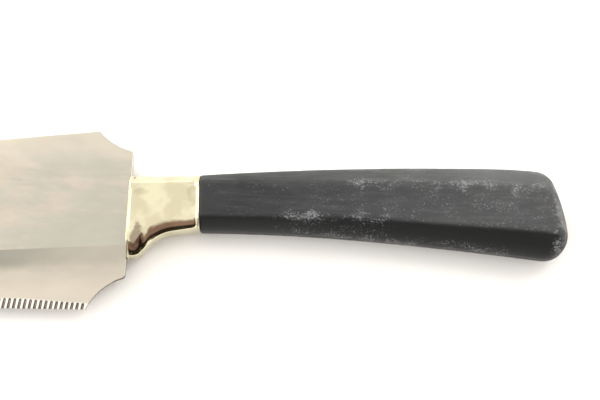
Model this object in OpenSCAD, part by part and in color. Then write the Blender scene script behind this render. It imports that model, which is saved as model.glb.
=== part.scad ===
// Bread knife with a wide fluted blade, a cast bolster and a faceted grip.
//
// The knife is drawn with its blade's middle plane on XY: X runs from the heel towards the butt,
// Y towards the spine and Z out of the fluted face. lay_down() then lays it on its side, the way
// it rests on a table: flat on the grip's lower facet, with the tip of the blade also touching.

/* [Blade] */
// Length of the blade from its tip to the bolster
blade_length = 212; // [195:1:230]
// Height of the blade between its two heel corners
blade_height = 50.2; // [48:0.2:52]
// Thickness of the blade at its heel
heel_thickness = 1.8; // [1.6:0.1:2.2]
// Thickness of the blade at its tip
tip_thickness = 0.9; // [0.8:0.1:1.2]
// Thickness left along the cutting edge
edge_thickness = 0.5; // [0.4:0.05:0.6]
// Height of the ground band above the cutting edge, at the heel
grind_height = 18; // [15:1:20]

/* [Flutes] */
// Distance from one flute to the next
flute_pitch = 1.42; // [1.4:0.02:2]
// Length of a flute, from the edge up
flute_length = 2.8; // [2.2:0.1:3.6]
// Length of the first flute, beside the heel
first_flute_length = 1.75; // [1.4:0.05:2.2]
// Depth of a flute at the edge
flute_depth = 0.35; // [0.2:0.05:0.35]
// Lean of the flutes from square to the edge, in degrees
flute_lean = 10; // [0:1:20]

/* [Tang] */
// Length of the tang behind the heel
tang_length = 78; // [60:1:90]
// Height of the tang
tang_height = 8; // [6:0.5:9]

/* [Bolster] */
// Length of the bolster
bolster_length = 20.4; // [18.4:0.2:24]
// How far the bolster's belly drops to guard the finger
finger_drop = 6.3; // [5:0.1:7]
// How far the beads at both ends of the bolster stand proud
bead_height = 0.25; // [0.1:0.05:0.3]
// Half the width of each bead
bead_run = 0.4; // [0.3:0.05:0.6]
// Thickness of the bolster's wall beside the blade
bolster_wall = 3; // [2:0.5:4]

/* [Handle] */
// Length of the handle behind the bolster
handle_length = 99.8; // [92:0.2:110]
// Thickness of the handle beside the bolster
front_thickness = 12.8; // [12:0.1:14]
// How far the spigot on the handle enters the bolster
spigot_length = 3; // [2:0.5:5]

/* [Hidden] */

$fn = 48;
reach = 500;        // larger than the knife, for the cutters
arc_steps = 8;      // straight pieces in each arc of an outline

butt_x = bolster_length + handle_length;

// The grip thickens towards the butt so that its lower facet, carried on forwards, meets the tip.
taper = (front_thickness - tip_thickness) / 2 / (blade_length + bolster_length);
lie_angle = atan(taper);
rest_height = (front_thickness / 2 - taper * bolster_length) * cos(lie_angle);

// Blade outline
heel_top = 13.9;
heel_bottom = -19.8;
heel_slant = 0.04;      // how far the heel and the bolster's front lean back, for each unit of height
spine_corner = [-8.2, 0.414 * blade_height];
edge_corner = [-10.75, spine_corner.y - blade_height];
spine_heading = 184.4;
spine_bend = [-0.66 * blade_length, spine_corner.y - 0.0525 * blade_length];
edge_rise = 1.25;
nose_x = 1.3 - blade_length;
edge_end = [nose_x, edge_corner.y + (edge_corner.x - nose_x) * tan(edge_rise)];
tip = [-blade_length, edge_end.y + 3.4];
grind_slope = atan((heel_thickness - edge_thickness) / 2 / grind_height);

// Flutes
flute_radius = 0.4;
flute_nose = 0.4;       // length of each flute's rounded end
flute_tilt = atan(0.3 * flute_depth / flute_length);
edge_run = edge_corner.x - edge_end.x;
flute_count = floor((edge_run * cos(flute_lean) - 6) / flute_pitch);
flute_growth = 0.08;    // how much longer each flute is than the one before, near the heel

// Side outline of the handle, from the spine's side of the bolster round the butt to the belly's side.
// Each row holds a point, the point of the broad flat's crease inside it, and the share of the handle's
// thickness that stays upright there, as a land, before it rolls over to that crease.
grip_middle = bolster_length + 0.44 * handle_length;
handle_path = [
    [[bolster_length, 7.45], [bolster_length, 4.9], 0.42],
    [[butt_x - 20, 8.75], [butt_x - 21, 3.2], 0.3],
    [[butt_x - 8.2, 7.95], [butt_x - 7.2, 1.9], 0.3],
    [[butt_x - 3.3, 4.2], [butt_x - 5.1, 0.4], 0.3],
    [[butt_x, -9.5], [butt_x - 2.9, -9.6], 0.3],
    [[butt_x - 2, -14.8], [butt_x - 3.7, -11.2], 0.25],
    [[butt_x - 7.6, -16.55], [butt_x - 8, -10.2], 0.15],
    [[grip_middle, -10.65], [grip_middle, -6], 0.2],
    [[bolster_length, -8.2], [bolster_length, -4.9], 0.25]];
handle_heading = 3.3;
handle_lead = 6;        // length of the outline that is cut off in front of the handle
bevel_curve = 1.4;      // how strongly the bevels roll over, from 1 for flat ones
bevel_levels = [0.2, 0.36, 0.5, 0.64, 0.8, 1.06];

// Hollows for the tang, each with its height and thickness
tang_end_gap = 2;
spigot_x = bolster_length - spigot_length;
socket_section = [11, 4];
pocket_section = [10.5, 8];
pocket_y = -0.4;

// Underside of the bolster: bead, nose, finger drop and bead
bolster_top = 7.3;
rear_bottom = -7.95;
drop_bottom = rear_bottom - 1 - finger_drop;
bolster_path = [
    [2 * bead_run, drop_bottom - 0.1],
    [2.4, drop_bottom - 0.1],
    [4.1, drop_bottom + 0.8],
    [6.1, drop_bottom + 3],
    [12.6, rear_bottom - 0.9],
    [bolster_length - 2 * bead_run, rear_bottom - 0.1],
    [bolster_length, rear_bottom]];
top_bevel = [2.8, 3];   // height and depth of the bevel along the spine
belly_rim = 0.25;       // height of the rim under the belly's bevel
belly_land = 0.33;      // share of the thickness under that bevel that stays upright, as a land
belly_widening = 1.6;   // how much wider that bevel is at the front of the bolster
corner_round = 0.2;     // share of each side that the rounding of a corner takes up
corner_steps = 4;

// Creases of the bevel along the bolster's belly, each with its height above the rim and its depth below
// the bolster's face
belly_bevel = [[2.6, 0], [0.8, 1.4], [0, 2.3]];

function unit(v) = v / norm(v);
function lerp(a, b, t) = a + (b - a) * t;
function wrapped(angle) = angle - 360 * round(angle / 360);
function reversed(list) = [for (i = [len(list) - 1:-1:0]) list[i]];
function direction(angle) = [cos(angle), sin(angle)];

// Half the turn of the arc that leaves start at a heading and ends at end
function half_turn(start, heading, end) =
    wrapped(atan2(end.y - start.y, end.x - start.x) - heading);

// Points of that arc, without its start
function arc_points(start, heading, end) =
    let (half = half_turn(start, heading, end), chord = norm(end - start))
    [for (i = [1:arc_steps])
        let (t = i / arc_steps, share = abs(half) < 0.01 ? t : sin(t * half) / sin(half))
        start + chord * share * direction(heading + t * half)];

// Arcs through a list of ends, each leaving in the direction in which the last one arrived
function smooth_path(start, heading, ends, i = 0) =
    i == len(ends) ? [] :
    concat(arc_points(start, heading, ends[i]),
        smooth_path(ends[i], heading + 2 * half_turn(start, heading, ends[i]), ends, i + 1));

// Half the thickness of the grip at x
function grip_half(x) = front_thickness / 2 + taper * (x - bolster_length);

// Where the heel lies at a height
function heel_x(y) = heel_slant * (y - heel_bottom);

// How far a bead stands proud at x
function bead(x, middle) = bead_height * max(0, 1 - pow((x - middle) / bead_run, 2));

// Lays the drawn knife on its side, with the middle of its box over the origin
module lay_down()
    translate([
        (blade_length - butt_x) / 2 * cos(lie_angle),
        -(spine_corner.y + edge_corner.y) / 2,
        rest_height])
    rotate([0, -lie_angle, 0])
    children();

// The space outside a flat bevel whose edge runs from a to b, and which falls to the right of it at slope
module beyond_bevel(a, b, slope) {
    along = unit(b - a);
    fall = cos(slope) * unit([along.y, -along.x, 0]) - [0, 0, sin(slope)];
    normal = cross(fall, along);
    translate(a)
    rotate([0, acos(normal.z), atan2(normal.y, normal.x)])
    translate([-reach / 2, -reach / 2, 0])
    cube(reach);
}

// Extrudes an outline drawn in X and Z across the knife
module extrude_across(points)
    rotate([90, 0, 0])
    linear_extrude(reach, center = true)
    polygon(points);

// One end of the heel and the hollow notch that joins it to a corner of the blade, at a side of 1 or -1
function heel_notch(y, side, corner) =
    let (end = [heel_x(y), y])
    concat([end], smooth_path(end, side * 90, [end + [-0.9, side * 1.2], corner]));

module blade_outline() {
    spine = smooth_path(spine_corner, spine_heading, [spine_bend, tip, edge_end]);
    half_tang = tang_height / 2;
    tang = [
        [heel_x(-half_tang), -half_tang], [tang_length, 1 - half_tang],
        [tang_length, half_tang - 1], [heel_x(half_tang), half_tang]];
    polygon(concat(
        heel_notch(heel_top, 1, spine_corner),
        spine,
        reversed(heel_notch(heel_bottom, -1, edge_corner)),
        tang));
}

// One flute, running up from the edge at the origin to a rounded end, and a little shallower there
module flute(length)
    rotate([grind_slope, 0, 0])
    rotate([0, 0, -flute_lean])
    translate([0, 0, -flute_depth])
    rotate([flute_tilt - 90, 0, 0])
    translate([0, -flute_radius, 0])
    rotate_extrude()
    polygon([
        [0, -flute_length],
        [flute_radius, -flute_length],
        [flute_radius, length - flute_nose],
        [0.85 * flute_radius, length - 0.4 * flute_nose],
        [0.4 * flute_radius, length],
        [0, length]]);

module flutes() {
    for (i = [0:flute_count - 1]) {
        along_edge = (i + 0.6) * flute_pitch / cos(flute_lean);
        translate([edge_corner.x, edge_corner.y, edge_thickness / 2])
        rotate([0, 0, -edge_rise])
        translate([-along_edge, 0, 0])
        flute(min(flute_length, first_flute_length + flute_growth * i));
    }
}

module blade() {
    half_heel = heel_thickness / 2;
    half_tip = tip_thickness / 2;
    edge_from = [edge_end.x, edge_end.y, edge_thickness / 2];
    edge_to = [edge_corner.x, edge_corner.y, edge_thickness / 2];
    color("lightsteelblue")
    difference() {
        intersection() {
            linear_extrude(2 * heel_thickness, center = true) blade_outline();
            extrude_across([
                [-blade_length, -half_tip], [0, -half_heel], [tang_length, -half_heel],
                [tang_length, half_heel], [0, half_heel], [-blade_length, half_tip]]);
        }
        for (side = [0, 1]) mirror([0, 0, side]) beyond_bevel(edge_from, edge_to, grind_slope);
        flutes();
    }
}

// One ring of the bolster, as points in its section at x, with rounded corners. The bevel along the belly
// is taller where the underside is steep, so that it stays as wide.
function bolster_ring(x, underside, steepness) =
    let (
        proud = bead(x, bead_run) + bead(x, bolster_length - bead_run),
        top = bolster_top + proud,
        bottom = underside - proud,
        side = grip_half(x) - bead_height + proud,
        widening = lerp(belly_widening, 1, x / bolster_length),
        bevel = [for (crease = belly_bevel)
            [bottom + belly_rim + crease[0] * widening * steepness, side - crease[1] * widening]],
        half = concat(
            [[top, side - top_bevel[1]], [top - top_bevel[0], side]],
            bevel,
            [[bottom, belly_land * bevel[len(bevel) - 1][1]]]),
        corners = concat(half, [for (p = reversed(half)) [p[0], -p[1]]]),
        count = len(corners))
    [for (i = [0:count - 1], t = [0:1 / corner_steps:1])
        let (
            here = corners[i],
            before = lerp(here, corners[(i + count - 1) % count], corner_round),
            after = lerp(here, corners[(i + 1) % count], corner_round),
            p = lerp(lerp(before, here, t), lerp(here, after, t), t))
        [x + heel_x(p[0]) * (1 - x / bolster_length), p[0], p[1]]];

// Closed skin over a list of rings with equal numbers of points
module loft(rings) {
    size = len(rings[0]);
    last = len(rings) - 1;
    sides = [for (r = [0:last - 1], i = [0:size - 1])
        let (j = (i + 1) % size, a = r * size, b = a + size)
        each [[a + i, a + j, b + i], [a + j, b + j, b + i]]];
    front = [for (i = [size - 1:-1:0]) i];
    rear = [for (i = [0:size - 1]) last * size + i];
    polyhedron([for (ring = rings) each ring], concat(sides, [front, rear]));
}

module bolster_form() {
    underside = concat([[0, drop_bottom]], smooth_path([0, drop_bottom], -5, bolster_path));
    last = len(underside) - 1;
    loft([for (i = [last:-1:0])
        let (run = underside[min(i + arc_steps, last)] - underside[max(i - arc_steps, 0)])
        bolster_ring(underside[i].x, underside[i].y, norm(run) / run.x)]);
}

// A square bar along the tang, with the given height and thickness
module bar(from, to, section, middle = 0)
    translate([from, middle - section[0] / 2, -section[1] / 2])
    cube([to - from, section[0], section[1]]);

module socket() bar(spigot_x, tang_length + tang_end_gap, socket_section);

// The tang as it comes out of the sheet, before the blade is ground
module blank() linear_extrude(heel_thickness, center = true) blade_outline();

module bolster()
    color("palegoldenrod")
    difference() {
        bolster_form();
        bar(bolster_wall, reach, pocket_section, pocket_y);
        bar(-1, tang_length, [tang_height, heel_thickness]);
    }

module bolster_filler()
    color("dimgray")
    difference() {
        bar(bolster_wall, spigot_x, pocket_section, pocket_y);
        blank();
    }

// A row of the handle's path, moved forwards to where the handle is cut off
function lead(row) = [row[0] - [handle_lead, 0], row[1] - [handle_lead, 0], row[2]];

// The handle's path with its arcs filled in, and a straight lead at both ends
function handle_rows() =
    let (
        last = len(handle_path) - 1,
        ends = [for (row = handle_path) row[0]],
        outline = concat([ends[0]], smooth_path(ends[0], handle_heading, [for (i = [1:last]) ends[i]])),
        rows = [for (i = [0:len(outline) - 1])
            let (
                arc = min(last - 1, floor(i / arc_steps)),
                t = i / arc_steps - arc,
                from = handle_path[arc],
                to = handle_path[arc + 1])
            [outline[i], lerp(from[1], to[1], t), lerp(from[2], to[2], t)]])
    concat([lead(rows[0])], rows, [lead(rows[len(rows) - 1])]);

// One level of the handle: between its outline and its crease, at a share of the handle's thickness
function handle_ring(rows, level) =
    [for (row = rows)
        let (
            roll = max(0, abs(level) - row[2]) / (1 - row[2]),
            p = lerp(row[0], row[1], pow(roll, bevel_curve)))
        [p.x, p.y, level * grip_half(p.x)]];

module handle_form() {
    rows = handle_rows();
    levels = concat([for (level = reversed(bevel_levels)) -level], bevel_levels);
    intersection() {
        loft([for (level = levels) handle_ring(rows, level)]);
        extrude_across([
            [bolster_length, -grip_half(bolster_length)], [reach, -grip_half(reach)],
            [reach, grip_half(reach)], [bolster_length, grip_half(bolster_length)]]);
    }
}

module handle()
    color("dimgray")
    difference() {
        union() {
            handle_form();
            bar(spigot_x, bolster_length + 1, pocket_section, pocket_y);
        }
        socket();
    }

module tang_cement()
    color("tan")
    difference() {
        socket();
        blank();
    }

lay_down() blade();
lay_down() bolster();
lay_down() bolster_filler();
lay_down() handle();
lay_down() tang_cement();
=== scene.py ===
"""Looks for the bread knife: a satin fluted blade, a polished pale bolster and a scuffed black grip."""

import math

import bmesh
import bpy
import numpy as np
from mathutils import Matrix, Vector


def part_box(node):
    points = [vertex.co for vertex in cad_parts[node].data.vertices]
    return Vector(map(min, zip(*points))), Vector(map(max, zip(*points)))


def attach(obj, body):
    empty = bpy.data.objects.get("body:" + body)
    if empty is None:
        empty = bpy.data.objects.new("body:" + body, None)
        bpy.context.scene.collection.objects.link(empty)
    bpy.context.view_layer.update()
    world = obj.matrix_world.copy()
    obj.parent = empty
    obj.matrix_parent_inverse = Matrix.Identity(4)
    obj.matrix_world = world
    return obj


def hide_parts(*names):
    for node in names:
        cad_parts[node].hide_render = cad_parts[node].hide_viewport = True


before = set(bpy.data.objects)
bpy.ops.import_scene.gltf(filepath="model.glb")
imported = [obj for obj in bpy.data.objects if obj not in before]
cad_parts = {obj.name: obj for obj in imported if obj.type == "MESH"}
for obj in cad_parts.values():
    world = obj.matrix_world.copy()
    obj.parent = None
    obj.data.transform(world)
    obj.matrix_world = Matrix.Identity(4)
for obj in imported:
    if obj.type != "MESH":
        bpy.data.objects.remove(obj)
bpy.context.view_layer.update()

MM = 0.001

# The camera stands over the handle and leans towards the belly side.
CAMERA_TILT = math.radians(14)
CAMERA_DISTANCE = 400 * MM
CAMERA_FIELD = 165 * MM             # width of the picture at the knife
CAMERA_AIM = (47.4, 0.75)           # place in the knife's drawing, in millimetres
AIM_HEIGHT = 7.5 * MM
CAMERA_CLIP = (0.01, 10)            # nearest and furthest distance that is drawn, in metres

LAMP_COLOR = (1.0, 0.98, 0.96)
FLOOR_REACH = 3                     # metres from the middle of the floor to each side

# Vertices closer than this are joined when a CAD mesh is copied
WELD = 0.001 * MM

# Blade
EDGE_RISE = math.radians(1.25)      # how much the cutting edge climbs towards the tip
FLUTE_ZONE = 3.5                    # height of the fluted strip above the edge, in millimetres
FLUTE_TOPS = (1.9, 2.9)             # height of the flutes' ends at the heel and along the rest
FLUTE_GROWTH = 0.055                # how fast those ends rise, for each millimetre from the heel
SPINE_ROUND = 0.22 * MM             # how wide its broken edges are
BROKEN_FROM = 7 * MM                # height above its lowest point at which they begin
SQUARE_EDGE = math.radians(60)      # an edge is broken if its faces meet at more than this
FLAT_ENOUGH = math.radians(0.05)    # faces of a flat side, which become one, differ by less

# Edges that bend by more than these stay sharp in the shading
BLADE_CREASE = math.radians(1)
BOLSTER_CREASE = math.radians(35)

# Faces of the blade, by how squarely they look out of its side: 1 is squarely and 0 is edge-on
GROUND_FACING = (0.999, 0.9999)
FLUTE_FACING = (0.05, 0.997)
NOTCH_FACING = 0.95
NOTCH_LEAN = (0.1, -0.2)            # the lower notch looks further back and further down than this
EDGE_LAND = 0.1                     # height of the cutting edge itself, in millimetres

# Brown patches on the bolster: the first is a painted reflection of the dark surroundings low on the
# front lobe, where the face bulges, and the others are faint stains. Each has its place in the drawing,
# half the size, and strength
STAINS_AND_REFLECTION = (
    # Painted reflection of the dark surroundings, low on the bulging front lobe
    ((3.0, -10.4), (2.0, 3.6), 0.8),
    ((4.5, 2), (2.6, 1.2), 0.2),
    ((18.3, 1), (1.6, 3.5), 0.2))

# Direction that the grip's dust has settled from and that its painted light falls from: above and a
# little from the spine's side. Faces turned that way are painted lighter, and those towards the belly
# stay darker.
LIGHT_AND_DUST_FROM = (0, 0.75, 0.66)

# Wear of the grip
GRIP_VOXEL = 0.35 * MM              # size of the remeshed skin's voxels
FREE_SHARE = 0.5                    # how far a vertex moves towards its neighbours' mean each round
GRIP_ROUNDS = 14                    # rounds of smoothing
SPREAD_ROUNDS = 42                  # rounds in which the measured wear then spreads


# ---------------------------------------------------------------- the knife's own axes

def vertex_array(mesh, key="co"):
    """One row of three numbers for each vertex: its place or, as "normal", its normal."""
    values = np.zeros(len(mesh.vertices) * 3)
    mesh.vertices.foreach_get(key, values)
    return values.reshape(-1, 3)


def node_points(name):
    """All vertices of a CAD node, one row each."""
    return vertex_array(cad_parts[name].data)


def blade_normal():
    """Direction that the fluted face of the blade looks in."""
    total = Vector()
    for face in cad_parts["blade"].data.polygons:
        if abs(face.normal.z) > 0.99:
            total += face.normal * math.copysign(face.area, face.normal.z)
    total.y = 0
    return total.normalized()


def knife_axes():
    """Matrix from the knife's drawing, in metres with the heel at its origin, to the row frame."""
    up = blade_normal()
    lengthwise = Vector((up.z, 0, -up.x))
    bolster = node_points("bolster")
    heel = (bolster @ np.array(lengthwise)).min()
    heights = bolster @ np.array(up)
    middle = (heights.min() + heights.max()) / 2
    low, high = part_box("tang_cement")
    origin = lengthwise * heel + up * middle + Vector((0, (low.y + high.y) / 2, 0))
    axes = Matrix((lengthwise, (0, 1, 0), up)).transposed()
    return Matrix.Translation(origin) @ axes.to_4x4()


KNIFE = knife_axes()
KNIFE_TURN = np.array(KNIFE.to_3x3())

# The drawing's origin in the row frame, in millimetres
HEEL = KNIFE.translation.x / MM
MIDDLE = KNIFE.translation.y / MM


def in_drawing(points):
    """Points of the row frame as millimetres in the knife's drawing."""
    return (points - np.array(KNIFE.translation)) @ KNIFE_TURN / MM


# Where the grip leaves the bolster, in the drawing
GRIP_FRONT = in_drawing(node_points("bolster"))[:, 0].max()


# ---------------------------------------------------------------- meshes

def add_object(name, mesh):
    """A new object of the scene."""
    piece = bpy.data.objects.new(name, mesh)
    bpy.context.scene.collection.objects.link(piece)
    return piece


def copy_node(node, name):
    """A new object with its own copy of a CAD node's mesh, its doubled vertices joined."""
    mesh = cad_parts[node].data.copy()
    mesh.name = name
    mesh.materials.clear()
    shape = bmesh.new()
    shape.from_mesh(mesh)
    bmesh.ops.remove_doubles(shape, verts=shape.verts, dist=WELD)
    shape.to_mesh(mesh)
    shape.free()
    return add_object(name, mesh)


def apply_modifiers(piece):
    """Gives a piece the mesh that its modifiers make of it."""
    graph = bpy.context.evaluated_depsgraph_get()
    mesh = bpy.data.meshes.new_from_object(piece.evaluated_get(graph))
    piece.modifiers.clear()
    old = piece.data
    piece.data = mesh
    bpy.data.meshes.remove(old)


def edge_array(mesh):
    """One row for each edge: the numbers of its two vertices."""
    edges = np.zeros(len(mesh.edges) * 2, int)
    mesh.edges.foreach_get("vertices", edges)
    return edges.reshape(-1, 2)


def shade_smooth(mesh):
    """Shades all faces of a mesh smoothly."""
    mesh.polygons.foreach_set("use_smooth", [True] * len(mesh.polygons))


def store(mesh, name, values):
    """Keeps one number for each vertex, for a material to read."""
    attribute = mesh.attributes.new(name, "FLOAT", "POINT")
    attribute.data.foreach_set("value", values.astype(np.float32))


def relax(values, edges, share, rounds):
    """Moves each vertex's values towards the mean of its neighbours', as far as its share says."""
    count = np.bincount(edges.ravel(), minlength=len(values))[:, None]
    for _ in range(rounds):
        total = np.zeros_like(values)
        np.add.at(total, edges[:, 0], values[edges[:, 1]])
        np.add.at(total, edges[:, 1], values[edges[:, 0]])
        values = values + share[:, None] * (total / count - values)
    return values


def wear_grip(piece):
    """Remeshes the grip and wears its edges round. Returns how worn each vertex is, from 0 to 1."""
    remesh = piece.modifiers.new("remesh", "REMESH")
    remesh.mode = "VOXEL"
    remesh.voxel_size = GRIP_VOXEL
    apply_modifiers(piece)
    mesh = piece.data
    edges = edge_array(mesh)
    points = vertex_array(mesh)
    # The skin stays where it meets the bolster and moves freely from a millimetre behind it.
    freedom = np.clip((in_drawing(points)[:, 0] - GRIP_FRONT) * FREE_SHARE, 0, FREE_SHARE)
    worn = relax(points, edges, freedom, GRIP_ROUNDS)
    mesh.vertices.foreach_set("co", worn.ravel())
    wear = np.linalg.norm(worn - points, axis=1)[:, None]
    wear = relax(wear, edges, np.full(len(points), FREE_SHARE), SPREAD_ROUNDS)[:, 0]
    shade_smooth(mesh)
    mesh.update()
    most = np.percentile(wear, 99)
    return np.clip(wear / most, 0, 1)


# ---------------------------------------------------------------- material nodes

def add_node(tree, kind, inputs=None, **settings):
    """A new node. Its inputs are sockets to link or values to set."""
    made = tree.nodes.new(kind)
    for key, value in settings.items():
        setattr(made, key, value)
    for key, value in (inputs or {}).items():
        if isinstance(value, bpy.types.NodeSocket):
            tree.links.new(value, made.inputs[key])
        else:
            made.inputs[key].default_value = value
    return made


def calculate(tree, operation, *values):
    """Result of one Math node. MULTIPLY_ADD is the first value times the second, plus the third."""
    return add_node(tree, "ShaderNodeMath", dict(enumerate(values)), operation=operation).outputs[0]


def ramp(tree, value, low, high, to_low=0.0, to_high=1.0):
    """Smooth step of a value between two levels."""
    made = add_node(
        tree, "ShaderNodeMapRange",
        {"Value": value, "From Min": low, "From Max": high, "To Min": to_low, "To Max": to_high},
        interpolation_type="SMOOTHSTEP")
    return made.outputs[0]


def blend_colors(tree, factor, a, b):
    """Colour a where the factor is 0 and b where it is 1."""
    inputs = {0: factor}
    for key, color in ((6, a), (7, b)):
        inputs[key] = color if isinstance(color, bpy.types.NodeSocket) else (*color, 1)
    return add_node(tree, "ShaderNodeMix", inputs, data_type="RGBA").outputs[2]


def stored(tree, name):
    """Value that store() kept under a name."""
    return add_node(tree, "ShaderNodeAttribute", attribute_name=name).outputs["Fac"]


def position(tree, stretch=(1, 1, 1), turn=0.0, shift=(0, 0, 0)):
    """Place on the object in millimetres, turned about Z and then stretched."""
    coordinates = add_node(tree, "ShaderNodeTexCoord").outputs["Object"]
    turned = add_node(
        tree, "ShaderNodeMapping",
        {"Vector": coordinates, "Rotation": (0, 0, turn), "Scale": (1000,) * 3})
    made = add_node(
        tree, "ShaderNodeMapping",
        {"Vector": turned.outputs[0], "Location": shift, "Scale": stretch})
    return made.outputs[0]


def coordinate(tree, axis):
    """Place on the object in millimetres: "X" along the knife or "Y" from its belly to its spine."""
    return add_node(tree, "ShaderNodeSeparateXYZ", {0: position(tree)}).outputs[axis]


def noise(tree, place, scale, detail=2.0, roughness=0.5):
    """Noise from 0 to 1, with about scale features in each millimetre."""
    made = add_node(
        tree, "ShaderNodeTexNoise",
        {"Vector": place, "Scale": scale, "Detail": detail, "Roughness": roughness})
    return made.outputs[0]


def bump(tree, height, distance):
    """Normal of a surface that a height of 1 raises by a distance in millimetres."""
    return add_node(tree, "ShaderNodeBump", {"Height": height, "Distance": distance * MM}).outputs[0]


def new_material(name):
    """A new material, its node tree and its shader."""
    material = bpy.data.materials.new(name)
    material.use_nodes = True
    tree = material.node_tree
    shader = next(n for n in tree.nodes if n.type == "BSDF_PRINCIPLED")
    return material, tree, shader


def set_shader(tree, shader, **inputs):
    """Links or sets the shader's inputs, whose names are written with underscores."""
    for key, value in inputs.items():
        socket = shader.inputs[key.replace("_", " ")]
        if isinstance(value, bpy.types.NodeSocket):
            tree.links.new(value, socket)
        else:
            socket.default_value = value


# ---------------------------------------------------------------- materials

def smudged(tree, clean, stained):
    """Steel colour with broad faint smudges, more stained towards the heel."""
    by_heel = ramp(tree, coordinate(tree, "X"), HEEL - 60, HEEL)
    smudge = noise(tree, position(tree, (0.8, 2.4, 1), 0.06), 0.07, 4, 0.6)
    amount = calculate(tree, "MULTIPLY_ADD", by_heel, 0.2, smudge)
    return blend_colors(tree, ramp(tree, amount, 0.45, 0.8), clean, stained)


def flat_steel():
    """Satin rolled steel, with a painted sheen that lightens it by the spine, faint smudges and hairline
    scratches.
    """
    material, tree, shader = new_material("blade_flat")
    lines = noise(tree, position(tree, (0.1, 8, 8)), 1.0, 3, 0.6)
    gloss = noise(tree, position(tree, (1, 3, 1), 0.06), 0.12, 4, 0.6)
    # Painted sheen: the flat is painted lighter towards the spine
    by_spine = ramp(tree, coordinate(tree, "Y"), MIDDLE + 8, MIDDLE + 18, 0, 0.5)
    steel = smudged(tree, (0.475, 0.42, 0.358), (0.385, 0.369, 0.323))
    set_shader(
        tree, shader,
        Base_Color=blend_colors(tree, by_spine, steel, (0.56, 0.505, 0.43)),
        Metallic=1.0,
        Roughness=ramp(tree, gloss, 0.25, 0.75, 0.28, 0.36),
        Normal=bump(tree, lines, 0.003))
    return material


def ground_steel():
    """Ground band: darker just below its upper line, less so towards the heel, and bright by the flutes.
    """
    material, tree, shader = new_material("blade_ground")
    lines = noise(tree, position(tree, (1.2, 0.1, 1.2), -0.12), 1.0, 2, 0.5)
    mottle = noise(tree, position(tree, (0.4, 1, 1)), 0.25, 2, 0.5)
    depth = calculate(tree, "MULTIPLY_ADD", mottle, 0.12, stored(tree, "ground_off"))
    by_line = ramp(tree, depth, 0.24, 0.08)
    from_heel = ramp(tree, coordinate(tree, "X"), HEEL - 5, HEEL - 45, 0.35, 1)
    dark_band = calculate(tree, "MULTIPLY", by_line, from_heel)
    by_edge = ramp(tree, stored(tree, "edge_height"), 11, 4)
    crest = ramp(tree, stored(tree, "above_flutes"), 0.1, -0.6)
    color = smudged(tree, (0.48, 0.43, 0.365), (0.44, 0.4, 0.345))
    color = blend_colors(tree, dark_band, color, (0.26, 0.25, 0.22))
    color = blend_colors(tree, by_edge, color, (0.52, 0.47, 0.405))
    set_shader(
        tree, shader,
        Base_Color=blend_colors(tree, crest, color, (0.72, 0.7, 0.67)),
        Metallic=1.0,
        Roughness=ramp(tree, mottle, 0.3, 0.7, 0.26, 0.36),
        Normal=bump(tree, lines, 0.002))
    return material


def shaded_grimy_steel():
    """Floors of the flutes and the sheared edge of the notch beside them, painted dark brown: old grime
    and painted shade in the flutes' hollows, and painted shade on the notch's edge, which faces the
    shadowed floor.
    """
    material, tree, shader = new_material("blade_grime_and_shade")
    grime_and_shade = noise(tree, position(tree), 1.2, 3, 0.6)
    set_shader(
        tree, shader,
        Base_Color=blend_colors(tree, grime_and_shade, (0.09, 0.065, 0.05), (0.2, 0.16, 0.13)),
        Metallic=1.0,
        Roughness=ramp(tree, grime_and_shade, 0.3, 0.7, 0.3, 0.5),
        Normal=bump(tree, grime_and_shade, 0.02))
    return material


def brown_patch(tree, place, size, strength):
    """How brown a ragged oval round a place in the drawing is painted, used for the stains and for the
    painted reflection. Lengths are in millimetres.
    """
    middle = KNIFE @ Vector((place[0] * MM, place[1] * MM, 0)) / MM
    stretch = (1 / size[0], 1 / size[1], 0)
    shift = (-middle.x * stretch[0], -middle.y * stretch[1], 0)
    oval = add_node(
        tree, "ShaderNodeVectorMath", {0: position(tree, stretch, 0, shift)}, operation="LENGTH")
    ragged = calculate(
        tree, "MULTIPLY_ADD", noise(tree, position(tree), 0.4, 3, 0.6), 1.6, oval.outputs["Value"])
    return ramp(tree, ragged, 2.0, 1.4, 0, strength)


def brass():
    """Polished pale brass, slightly wavy, with fine rubbing marks, brown stains and a painted brown
    reflection low on its nose.
    """
    material, tree, shader = new_material("bolster_metal")
    wave = noise(tree, position(tree), 0.2, 2, 0.5)
    rubbing = noise(tree, position(tree, (0.4, 6, 6), 0.25), 1.0, 3, 0.6)
    height = calculate(tree, "MULTIPLY_ADD", rubbing, 0.01, wave)
    color = blend_colors(tree, ramp(tree, wave, 0.35, 0.65), (0.54, 0.495, 0.35), (0.65, 0.605, 0.44))
    # Faint stains, and a painted reflection low on the front lobe
    for place, size, strength in STAINS_AND_REFLECTION:
        color = blend_colors(tree, brown_patch(tree, place, size, strength), color, (0.2, 0.15, 0.11))
    set_shader(
        tree, shader,
        Base_Color=color,
        Metallic=1.0,
        Roughness=ramp(tree, rubbing, 0.3, 0.7, 0.06, 0.12),
        Normal=bump(tree, height, 0.1))
    return material


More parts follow.
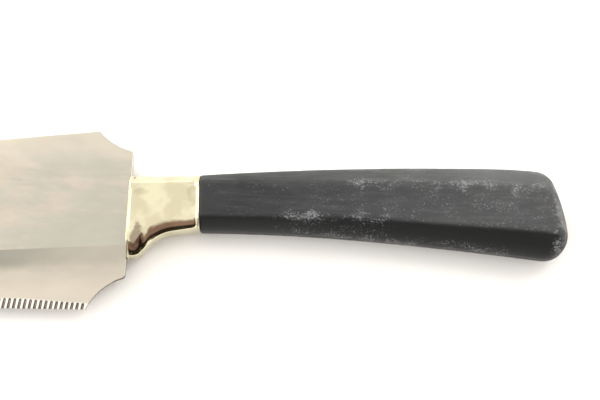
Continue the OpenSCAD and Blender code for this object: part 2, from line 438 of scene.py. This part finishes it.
def grip_plastic():
    """Black moulded plastic, scuffed grey on its worn creases and butt, with dust and painted light on
    its upper faces.
    """
    material, tree, shader = new_material("grip")
    low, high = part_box("handle")
    butt = ramp(tree, coordinate(tree, "X"), low.x / MM, high.x / MM)
    patch = noise(tree, position(tree, (0.6, 1, 1)), 0.12, 3, 0.6)
    streak = noise(tree, position(tree, (0.1, 1, 1), 0.03), 0.8, 4, 0.6)
    cluster = ramp(tree, noise(tree, position(tree, (0.5, 1, 1)), 0.3, 3, 0.6), 0.3, 0.6)
    fleck = noise(tree, position(tree, (0.7, 1, 1), 0.6), 2.2, 4, 0.75)
    scuffed = calculate(tree, "MULTIPLY", stored(tree, "scuffed"), cluster)
    level = calculate(tree, "MULTIPLY_ADD", scuffed, 0.36, fleck)
    scuff = ramp(tree, level, 0.64, 0.84)
    dust_and_light = calculate(tree, "MULTIPLY_ADD", butt, 0.8, ramp(tree, patch, 0.3, 0.7, 0, 0.2))
    dust_and_light = calculate(tree, "MULTIPLY_ADD", scuffed, 0.4, dust_and_light)
    dust_and_light = calculate(tree, "MULTIPLY_ADD", ramp(tree, streak, 0.45, 0.75), 0.4, dust_and_light)
    # Painted light as well as dust: lighter on faces that look up and towards the spine, darkest on the
    # belly's bevel
    dust_and_light = calculate(tree, "MULTIPLY", dust_and_light, stored(tree, "lit_and_dusted"))
    dusty_and_lit = blend_colors(tree, dust_and_light, (0.0074, 0.0086, 0.0094), (0.064, 0.066, 0.069))
    set_shader(
        tree, shader,
        Base_Color=blend_colors(tree, scuff, dusty_and_lit, (0.17, 0.17, 0.18)),
        Roughness=ramp(tree, fleck, 0.3, 0.7, 0.4, 0.55),
        Specular_IOR_Level=0.26,
        Normal=bump(tree, fleck, 0.02))
    return material


def casting(name, light, dark):
    """Rough, grainy cast filling."""
    material, tree, shader = new_material(name)
    grain = noise(tree, position(tree), 1.5, 5, 0.7)
    set_shader(
        tree, shader,
        Base_Color=blend_colors(tree, grain, dark, light),
        Roughness=0.8,
        Normal=bump(tree, grain, 0.1))
    return material


def paper():
    """White paper, a little uneven."""
    material, tree, shader = new_material("floor")
    grain = noise(tree, position(tree), 0.05, 2)
    set_shader(
        tree, shader,
        Base_Color=blend_colors(tree, grain, (0.93, 0.92, 0.91), (0.96, 0.955, 0.95)),
        Roughness=0.8)
    return material


# ---------------------------------------------------------------- pieces

def round_spine(piece):
    """Breaks the square edges of the blade everywhere above the flutes."""
    shape = bmesh.new()
    shape.from_mesh(piece.data)
    bmesh.ops.dissolve_limit(
        shape, angle_limit=FLAT_ENOUGH, verts=shape.verts, edges=shape.edges)
    weights = shape.edges.layers.float.new("bevel_weight_edge")
    clear_of_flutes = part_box("blade")[0].y + BROKEN_FROM
    for edge in shape.edges:
        high = min(vertex.co.y for vertex in edge.verts) > clear_of_flutes
        if high and edge.calc_face_angle(0) > SQUARE_EDGE:
            edge[weights] = 1
    shape.to_mesh(piece.data)
    shape.free()
    bevel = piece.modifiers.new("round", "BEVEL")
    bevel.limit_method = "WEIGHT"
    bevel.width = SPINE_ROUND
    bevel.segments = 2
    apply_modifiers(piece)


def measure_blade(mesh):
    """Stores how far each vertex is above the cutting edge and above the flutes' ends, and how much was
    ground off it, all in millimetres. Returns the heights above the edge."""
    x, y, z = in_drawing(vertex_array(mesh)).T
    lowest = y.argmin()
    from_heel = x[lowest] - x
    heights = y - y[lowest] - from_heel * math.tan(EDGE_RISE)
    store(mesh, "edge_height", heights)
    tops = np.clip(FLUTE_TOPS[0] + FLUTE_GROWTH * from_heel, *FLUTE_TOPS)
    store(mesh, "above_flutes", heights - tops)
    # The rolled side by the spine gives the thickness that the sheet had before it was ground.
    rolled = (y > 0) & (x < 0) & (z > 0)
    slope, half = np.polyfit(x[rolled], z[rolled], 1)
    store(mesh, "ground_off", half + slope * x - np.abs(z))
    return heights


def blade_face_kind(normal, height):
    """Which material a face of the blade has: 0 rolled, 1 ground or 2 grimy with painted shade."""
    facing = abs((KNIFE.to_3x3().transposed() @ normal).z)
    fluted = FLUTE_FACING[0] < facing < FLUTE_FACING[1] and height < FLUTE_ZONE
    # The lower notch's sheared edge gets the dark brown as painted shade
    notch = facing < NOTCH_FACING and normal.x > NOTCH_LEAN[0] and normal.y < NOTCH_LEAN[1]
    if fluted or notch:
        return 2
    return int(GROUND_FACING[0] < facing < GROUND_FACING[1] or height < EDGE_LAND)


def make_blade():
    """The blade, with its square edges broken and its three kinds of surface."""
    piece = copy_node("blade", "blade_fluted")
    round_spine(piece)
    mesh = piece.data
    heights = measure_blade(mesh)
    for material in (flat_steel(), ground_steel(), shaded_grimy_steel()):
        mesh.materials.append(material)
    for face in mesh.polygons:
        face.material_index = blade_face_kind(face.normal, heights[list(face.vertices)].min())
    shade_smooth(mesh)
    mesh.set_sharp_from_angle(angle=BLADE_CREASE)
    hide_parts("blade")
    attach(piece, "root")


def make_bolster():
    """The bolster, shaded smoothly between its real edges."""
    piece = copy_node("bolster", "bolster_cast")
    mesh = piece.data
    shade_smooth(mesh)
    mesh.set_sharp_from_angle(angle=BOLSTER_CREASE)
    mesh.materials.append(brass())
    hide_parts("bolster")
    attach(piece, "root")


def window(values, start, end, run):
    """1 between start and end, falling smoothly to 0 over run on both sides."""
    inside = np.minimum(values - start, end - values) / run + 1
    inside = np.clip(inside, 0, 1)
    return inside * inside * (3 - 2 * inside)


def scuffed_zones(place, upward, wear):
    """How scuffed each place on the grip is: most on its worn creases and butt, a little on its flat. On
    the belly's rim towards the butt, the scuffs also stand for painted bounce light.

    place is in the drawing, upward is how squarely the skin looks up, and wear is wear_grip's result.
    """
    x, y, z = place.T
    butt = x.max()
    share = (x - GRIP_FRONT) / (butt - GRIP_FRONT)
    by_spine = window(y, 0, 20, 1) * window(share, 0.45, 0.9, 0.15)
    by_belly = window(y, -14, -3, 1) * window(share, 0.22, 0.5, 0.06)
    # Scuffs and painted bounce light on the belly's rim, lighter towards the butt
    rim_scuffs_and_bounce = window(y, -30, -8, 1) * window(np.abs(z), 0, 4, 1) * window(share, 0.42, 0.8, 0.1)
    creases = wear ** 0.8 * np.maximum.reduce([by_spine, by_belly, rim_scuffs_and_bounce])
    end = 0.75 * window(x, butt - 3.5, butt, 2.5)
    flat = (0.15 + 0.25 * share) * window(upward, 0.95, 1, 0.1)
    return np.maximum.reduce([creases, end, flat])


def make_handle():
    """The grip, with its edges worn round, scuffed, dusty and painted lighter where it faces up and
    towards the spine.
    """
    piece = copy_node("handle", "grip_worn")
    wear = wear_grip(piece)
    mesh = piece.data
    normals = vertex_array(mesh, "normal")
    store(mesh, "scuffed", scuffed_zones(in_drawing(vertex_array(mesh)), normals[:, 2], wear))
    # Painted light and dust: how squarely each vertex faces up and towards the spine
    store(mesh, "lit_and_dusted", np.clip(normals @ LIGHT_AND_DUST_FROM, 0, 1))
    mesh.materials.append(grip_plastic())
    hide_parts("handle")
    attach(piece, "root")


def finish_hidden_nodes():
    """Gives the filling and the cement, which keep their CAD meshes, their materials."""
    fillings = {
        "bolster_filler": casting("bolster_filling", (0.3, 0.28, 0.26), (0.16, 0.15, 0.14)),
        "tang_cement": casting("tang_cement", (0.55, 0.45, 0.3), (0.4, 0.32, 0.2)),
    }
    for name, material in fillings.items():
        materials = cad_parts[name].data.materials
        materials.clear()
        materials.append(material)


# ---------------------------------------------------------------- setting

def make_floor():
    """Plain pale floor under the knife."""
    mesh = bpy.data.meshes.new("floor")
    shape = bmesh.new()
    bmesh.ops.create_grid(shape, x_segments=1, y_segments=1, size=FLOOR_REACH)
    shape.to_mesh(mesh)
    shape.free()
    floor = add_object("floor", mesh)
    mesh.materials.append(paper())


def make_world():
    """A bright warm room, brighter towards the tip and low down beyond the spine, but dark and brown low
    down on the belly side."""
    world = bpy.data.worlds.new("studio")
    bpy.context.scene.world = world
    world.use_nodes = True
    tree = world.node_tree
    direction = add_node(tree, "ShaderNodeTexCoord").outputs["Generated"]
    parts = add_node(tree, "ShaderNodeSeparateXYZ", {0: direction})
    height = parts.outputs["Z"]
    to_spine = parts.outputs["Y"]
    to_tip = calculate(tree, "MULTIPLY", parts.outputs["X"], -1)
    to_belly = calculate(tree, "MULTIPLY", to_spine, -1)

    tip_end = ramp(tree, to_tip, 0.6, 0.85)
    beyond = calculate(
        tree, "MULTIPLY", ramp(tree, to_spine, 0.5, 0.85), ramp(tree, height, 0.4, 0.2))
    room = blend_colors(tree, tip_end, (1.48, 1.45, 1.36), (2.6, 2.6, 2.6))
    room = blend_colors(tree, beyond, room, (2.3, 2.25, 2.1))

    near_belly = calculate(
        tree, "MULTIPLY", ramp(tree, height, 0.68, 0.56), ramp(tree, to_belly, 0.1, 0.45))
    away_from_tip = calculate(tree, "SUBTRACT", 1.0, tip_end)
    dark = calculate(tree, "MULTIPLY", near_belly, away_from_tip)
    shade = blend_colors(tree, ramp(tree, height, 0.3, 0.45), (0.04, 0.03, 0.02), (0.42, 0.27, 0.24))

    background = next(n for n in tree.nodes if n.type == "BACKGROUND")
    tree.links.new(blend_colors(tree, dark, room, shade), background.inputs["Color"])
    background.inputs["Strength"].default_value = 1.0


def make_light(name, place, aim, size, energy):
    """A round lamp that looks at a place. Lengths are in metres."""
    data = bpy.data.lights.new(name, "AREA")
    data.shape = "DISK"
    data.size = size
    data.energy = energy
    data.color = LAMP_COLOR
    light = bpy.data.objects.new(name, data)
    bpy.context.scene.collection.objects.link(light)
    light.location = place
    light.rotation_mode = "QUATERNION"
    light.rotation_quaternion = (Vector(aim) - Vector(place)).to_track_quat("-Z", "Y")


def make_camera():
    """Camera of the main view, nearly straight above the grip."""
    data = bpy.data.cameras.new("camera")
    camera = bpy.data.objects.new("camera", data)
    bpy.context.scene.collection.objects.link(camera)
    aim = KNIFE @ Vector((CAMERA_AIM[0] * MM, CAMERA_AIM[1] * MM, 0))
    aim.z = AIM_HEIGHT
    back = Vector((0, -math.sin(CAMERA_TILT), math.cos(CAMERA_TILT)))
    camera.location = aim + back * CAMERA_DISTANCE
    camera.rotation_mode = "QUATERNION"
    camera.rotation_quaternion = (-back).to_track_quat("-Z", "Y")
    data.lens = data.sensor_width * CAMERA_DISTANCE / CAMERA_FIELD
    data.clip_start, data.clip_end = CAMERA_CLIP
    bpy.context.scene.camera = camera


make_camera()
make_floor()
make_world()
make_light("key", (-0.8, 0.9, 0.8), aim=(0.05, 0, 0), size=0.6, energy=13.5)
make_light("glint", (0.6, 0.3, 0.95), aim=(0, 0, 0), size=0.3, energy=1.5)
make_blade()
make_bolster()
make_handle()
finish_hidden_nodes()
bpy.context.scene.view_settings.view_transform = "Standard"
